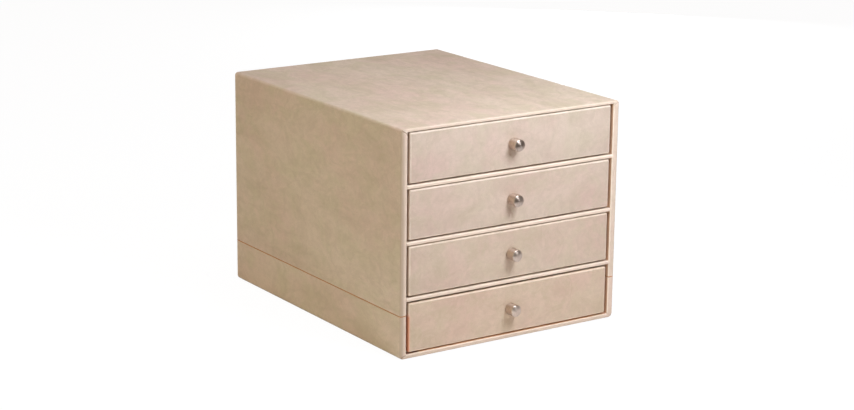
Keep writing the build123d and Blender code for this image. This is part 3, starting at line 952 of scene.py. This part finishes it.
RUSSET = srgb(150, 84, 52)
case_run = {"grain_run": (1, 0.62, 1), "streak_run": (46, 7, 46), "edge_light": 0.4, "folded": True}
upper_leather = leatherette(
    "case_leatherette", (0.31, 0.12, 0.05), warmth=0.42, depth=1.6, top_depth=1.7, **case_run
)
lower_leather = leatherette(
    "base_leatherette", (0.9, 0.4, 0.7), warmth=0.35, tint=(1.03, 1.03, 1.03),
    inner_colour=RUSSET, **case_run,
)
shelf_leather = leatherette("shelf_leatherette", (1.3, 0.2, 0.4), warmth=0.4, edge_light=0.75)
panel_leather = leatherette("back_leatherette", (2.1, 1.4, 0.3), (0, 0.4, 0), warmth=0.5)
board_paper = paper("greyboard", srgb(176, 166, 150), srgb(132, 122, 108), 60.0)
case_paper = paper("russet_paper", RUSSET, srgb(116, 62, 38), 90.0)
tray_paper = paper("linen_paper", srgb(209, 192, 173), srgb(186, 166, 145), 90.0, emboss=0.35)
under_paper = paper("felted_paper", srgb(122, 104, 88), srgb(88, 72, 60), 45.0)
knob_metal = turned_metal("turned_steel")
screw_metal = zinc("zinc_steel")
seam_orange = thread("orange_thread", srgb(220, 150, 88), srgb(176, 108, 58), 420.0)
seam_edge = paper("cut_edge", srgb(190, 132, 86), srgb(146, 94, 56), 160.0)

upper_wrap = case_wrap("upper_wrap", SEAM_TOP, CASE_TOP, MOUTH_CEILING, UPPER_LONG_EDGE, 3)
dress(upper_wrap, "case", "leatherette", upper_leather, "upper_cover")
lower_wrap = case_wrap("lower_wrap", SEAM_BOTTOM, CASE_BOTTOM, MOUTH_FLOOR, LOWER_LONG_EDGE, 7)
dress(lower_wrap, "case", "leatherette", lower_leather, "lower_cover")
for side, side_name in ((-1, "left"), (1, "right")):
    stitches = seam_stitches(f"seam_stitches_{side_name}", side, 11 + side)
    dress(stitches, "case", "thread", seam_orange, "seam_thread")
    dress(seam_bed(f"seam_bed_{side_name}", side), "case", "thread", seam_edge, "seam_thread")
for number in SHELVES:
    dress(shelf_wrap(number), "case", "leatherette", shelf_leather, f"shelf_{number}_cover")
    finish_node(f"shelf_{number}", board_paper)
back_low, back_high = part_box("back_cover")
back_panel = covered_panel(
    "back_panel", back_low, back_high, BACK_RADII, 31, facing=1, puff=0.05 * MM
)
dress(back_panel, "case", "leatherette", panel_leather, "back_cover")
for node in ("left_board", "right_board", "top_board", "bottom_board", "back_board"):
    finish_node(node, board_paper)
finish_node("case_lining", case_paper)
finish_node("base_sheet", under_paper)

for number, tint in zip(DRAWERS, DRAWER_TINTS):
    body = f"drawer_{number}"
    offset = (0.77 * number, 0.41 * number, 0.23 * number)
    front_leather = leatherette(
        f"{body}_leatherette", offset, (0, 0.15 * number, 0), warmth=0.55, depth=1.3,
        tint=tint, stained=number == DRAWERS[-1],
    )
    low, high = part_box(f"{body}_front_cover")
    front = covered_panel(f"{body}_front", low, high, DRAWER_RADII, 60 + number)
    dress(front, body, "leatherette", front_leather, f"{body}_front_cover")
    dress(turned_knob(number), body, "knob_metal", knob_metal, f"{body}_knob")
    finish_node(f"{body}_tray_cover", front_leather)
    finish_node(f"{body}_lining", tray_paper)
    finish_node(f"{body}_screw", screw_metal)
    for board in ("front_board", "left_side", "right_side", "back", "bottom"):
        finish_node(f"{body}_{board}", board_paper)


# ---------------------------------------------------------------- studio
def studio_camera():
    """The photograph's own view: place, angles and lens solved from its edges."""
    data = bpy.data.cameras.new("camera")
    data.sensor_width = 36.0
    data.lens = 89.43
    camera = linked("camera", data)
    camera.location = (-1.18882, CASE_FRONT - 1.61487, 0.66611)
    camera.rotation_euler = [math.radians(a) for a in (75.18285, -0.59295, -33.81679)]
    bpy.context.scene.camera = camera


def area_lamp(name, place, target, size, power, colour):
    """A square soft lamp aimed at a point."""
    data = bpy.data.lights.new(name, "AREA")
    data.size = size
    data.energy = power
    data.color = colour
    lamp = linked(name, data)
    lamp.location = place
    lamp.visible_camera = False
    aim = np.array(target, float) - np.array(place, float)
    flat = math.hypot(aim[0], aim[1])
    lamp.rotation_euler = (math.atan2(flat, -aim[2]), 0, math.atan2(aim[1], aim[0]) - math.pi / 2)


def seen_rays(tree):
    """1 for what the camera sees directly or through glass."""
    path = tree.nodes.new("ShaderNodeLightPath")
    return calc(tree, "MAXIMUM", path.outputs["Is Camera Ray"], path.outputs["Is Transmission Ray"])


def studio_floor():
    """A pale floor that is white to the camera but keeps the object's shadow.

    Reflections see it as a table: white near the object and dark in front of its edge.
    """
    edge = 6.0
    u = np.linspace(-edge, edge, 9)
    points = np.stack(np.broadcast_arrays(u[:, None], u[None, :], np.zeros((9, 9))), axis=-1)
    floor = grid_mesh("floor", points)
    material, tree, shader = new_material("floor_white")
    path = tree.nodes.new("ShaderNodeLightPath")
    off_table = stretch(tree, coordinate(tree, placed(tree), "Y"), -0.64, -0.46, 1.0, 0.0)
    dark = times(tree, off_table, path.outputs["Is Glossy Ray"])
    table, room = (0.86, 0.86, 0.86, 1), (0.05, 0.04, 0.035, 1)
    tree.links.new(mix(tree, dark, table, room), shader.inputs["Base Color"])
    shader.inputs["Roughness"].default_value = 0.9
    glow = shader_node(tree, "Emission", Color=(1, 1, 1, 1), Strength=1.06)
    blend = tree.nodes.new("ShaderNodeMixShader")
    tree.links.new(times(tree, seen_rays(tree), 0.9), blend.inputs["Fac"])
    tree.links.new(shader.outputs["BSDF"], blend.inputs[1])
    tree.links.new(glow.outputs["Emission"], blend.inputs[2])
    output = next(n for n in tree.nodes if n.type == "OUTPUT_MATERIAL")
    tree.links.new(blend.outputs["Shader"], output.inputs["Surface"])
    floor.data.materials.append(material)


def studio_world(fill, fill_colour):
    """White to the camera, an even fill as light, and in reflections a pale backdrop and a dim room.

    Reflections see white behind the object and a room that is dark in front of it, where the
    camera stands, and lighter towards its ceiling.
    """
    world = bpy.data.worlds.new("studio")
    world.use_nodes = True
    bpy.context.scene.world = world
    tree = world.node_tree
    tree.nodes.clear()
    direction = tree.nodes.new("ShaderNodeTexCoord").outputs["Generated"]
    backdrop = stretch(tree, coordinate(tree, direction, "Y"), -0.1, 0.3)
    ceiling = stretch(tree, coordinate(tree, direction, "Z"), 0.15, 0.95, 0.16, 0.55)
    room = mix(tree, backdrop, mix(tree, ceiling, (0, 0, 0, 1), (1, 0.95, 0.9, 1)), (1, 1, 1, 1))
    path = tree.nodes.new("ShaderNodeLightPath")
    light = mix(tree, path.outputs["Is Glossy Ray"], [fill * part for part in fill_colour] + [1], room)
    shown = mix(tree, seen_rays(tree), light, (1, 1, 1, 1))
    background = shader_node(tree, "Background", Color=shown, Strength=1.0)
    output = tree.nodes.new("ShaderNodeOutputWorld")
    tree.links.new(background.outputs["Background"], output.inputs["Surface"])


studio_camera()
studio_floor()
studio_world(fill=0.21, fill_colour=(1.0, 0.6, 0.5))
front_target, middle = (0.0, -0.1, 0.11), (0.0, 0.0, 0.11)
area_lamp("key", (0.07, -0.52, 0.55), front_target, size=0.24, power=3.3, colour=(0.77, 0.87, 1.0))
area_lamp("overhead", (0.0, -0.2, 1.3), middle, size=0.9, power=6.4, colour=(0.75, 0.89, 1.0))
area_lamp("side_fill", (-1.5, -0.2, 0.6), middle, size=1.0, power=7.6, colour=(0.92, 1.0, 0.75))
area_lamp("back_fill", (1.3, 1.3, 0.12), middle, size=0.24, power=15.0, colour=(0.85, 0.95, 1.0))
bpy.context.scene.view_settings.view_transform = "Standard"
